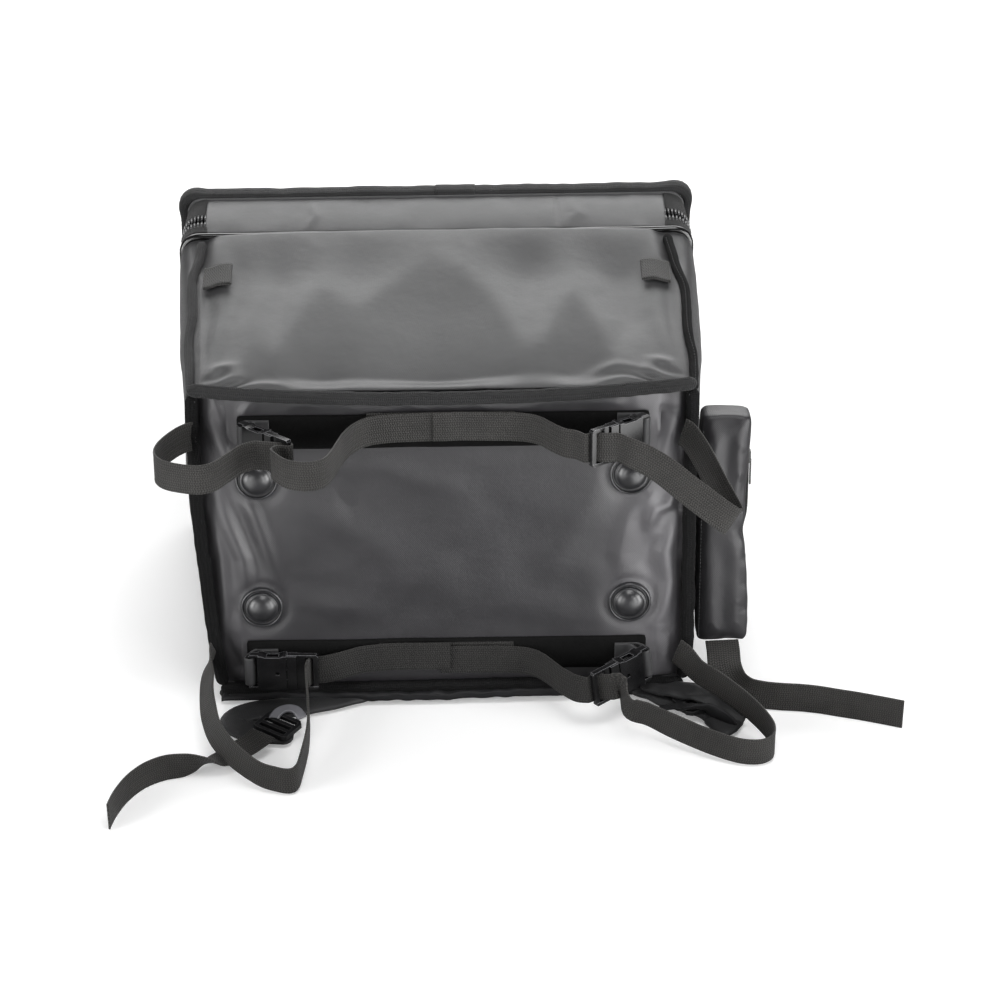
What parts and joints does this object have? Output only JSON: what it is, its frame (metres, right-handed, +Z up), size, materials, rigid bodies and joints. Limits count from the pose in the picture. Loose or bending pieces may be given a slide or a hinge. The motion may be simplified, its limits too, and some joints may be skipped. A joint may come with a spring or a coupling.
{
  "type": "motorcycle tail bag",
  "caption": "Box-shaped soft tail bag with zip-round lid, side-release straps and a webbing handle on the base, rubber feet, side pocket and stowed carrying harness.",
  "frame": {"origin": "on the floor, below the middle of the base panel's lower edge, with the bag lying on its front wall", "axes": "+X across the bag towards the side pocket, -Y out of the base panel with its rubber feet, +Y towards the zip-round lid, +Z up towards the hinge wall. In use the bag is turned a quarter turn about X so that the base faces down and the lid up. The base panel leans back 8 degrees from vertical."},
  "size_m": [0.6921, 0.5341, 0.3461],
  "materials": {
    "base_fabric": "coated woven nylon, satin charcoal",
    "wall_fabric": "coated woven nylon, satin grey",
    "binding": "ribbed grosgrain edge tape, matt",
    "webbing": "ribbed woven webbing, matt",
    "velour": "brushed loop tape, matt",
    "piping": "glossy black piping",
    "zip": "woven zip tape and black coil",
    "zip_metal": "black enamelled zip slider",
    "plastic": "moulded black acetal, semi-gloss",
    "foot_rubber": "moulded rubber, satin",
    "screw_steel": "plated steel",
    "board": "stiffening sheet",
    "pad": "foam-filled mesh-faced strap pad",
    "grey_plastic": "moulded grey plastic"
  },
  "bodies": {
    "bag": {"base_panel": "base_fabric", "base_board": "board", "base_binding": "binding", "hinge_wall": "wall_fabric", "front_wall": "wall_fabric", "left_wall": "wall_fabric", "right_wall": "wall_fabric", "corner_binding_left": "binding", "corner_binding_right": "binding", "rim_piping": "piping", "hinge_strip": "wall_fabric", "zip_lower": "zip", "anchor_strip_lower": "velour", "anchor_strip_upper": "velour", "handle_lower": "webbing", "handle_upper": "webbing", "wall_loop_left": "webbing", "wall_loop_right": "webbing", "side_pocket": "wall_fabric", "pocket_zip": "zip", "stow_pocket": "wall_fabric", "harness_pad_left": "pad", "harness_pad_right": "pad", "ladder_lock_left": "grey_plastic", "ladder_lock_right": "grey_plastic", "harness_web_left": "webbing", "harness_web_right": "webbing", "foot_1": "foot_rubber", "foot_screw_1": "screw_steel", "foot_2": "foot_rubber", "foot_screw_2": "screw_steel", "foot_3": "foot_rubber", "foot_screw_3": "screw_steel", "foot_4": "foot_rubber", "foot_screw_4": "screw_steel", "buckle_socket_ul": "plastic", "buckle_tab_ul": "webbing", "buckle_socket_ur": "plastic", "buckle_tab_ur": "webbing", "buckle_socket_ll": "plastic", "buckle_tab_ll": "webbing", "buckle_socket_lr": "plastic", "buckle_tab_lr": "webbing"},
    "lid": {"lid_panel": "wall_fabric", "lid_binding": "binding", "zip_upper": "zip"},
    "slider_a": {"zip_slider_a": "zip_metal"},
    "slider_b": {"zip_slider_b": "zip_metal"},
    "pull_a": {"zip_pull_a": "zip_metal"},
    "pull_b": {"zip_pull_b": "zip_metal"},
    "pocket_slider": {"pocket_slider": "zip_metal"},
    "plug_ul": {"buckle_plug_ul": "plastic", "strap_ul": "webbing"},
    "plug_ur": {"buckle_plug_ur": "plastic", "strap_ur": "webbing"},
    "plug_ll": {"buckle_plug_ll": "plastic", "strap_ll": "webbing"},
    "plug_lr": {"buckle_plug_lr": "plastic", "strap_lr": "webbing"}
  },
  "joints": [
    {"name": "lid_hinge", "type": "hinge", "parent": "bag", "child": "lid", "pos_m": [0, 0.32616, 0.34759], "axis": [1, 0, 0], "range_deg": [0, 160]},
    {"name": "zip_slider_a_slide", "type": "slide", "parent": "bag", "child": "slider_a", "axis": [0, 0.0872, 0.9962], "range_m": [-0.004, 0.11]},
    {"name": "zip_slider_b_slide", "type": "slide", "parent": "bag", "child": "slider_b", "axis": [0, 0.0872, 0.9962], "range_m": [-0.085, 0.004]},
    {"name": "zip_pull_a_hinge", "type": "hinge", "parent": "slider_a", "child": "pull_a", "pos_m": [-0.2437, 0.27686, 0.18918], "axis": [0, 0.9962, -0.0872], "range_deg": [0, 90]},
    {"name": "zip_pull_b_hinge", "type": "hinge", "parent": "slider_b", "child": "pull_b", "pos_m": [-0.2437, 0.27372, 0.15332], "axis": [0, 0.9962, -0.0872], "range_deg": [0, 90]},
    {"name": "pocket_slider_slide", "type": "slide", "parent": "bag", "child": "pocket_slider", "axis": [0, 0.1392, 0.9903], "range_m": [-0.13, 0.008]},
    {"name": "buckle_ul_release", "type": "slide", "parent": "bag", "child": "plug_ul", "axis": [0.7111, -0.6962, 0.0978], "range_m": [0, 0.026]},
    {"name": "buckle_ur_release", "type": "slide", "parent": "bag", "child": "plug_ur", "axis": [-0.799, -0.5955, 0.0837], "range_m": [0, 0.026]},
    {"name": "buckle_ll_release", "type": "slide", "parent": "bag", "child": "plug_ll", "axis": [0.9989, -0.0464, 0.0065], "range_m": [0, 0.026]},
    {"name": "buckle_lr_release", "type": "slide", "parent": "bag", "child": "plug_lr", "axis": [-0.8114, -0.5806, -0.0674], "range_m": [0, 0.026]}
  ]
}
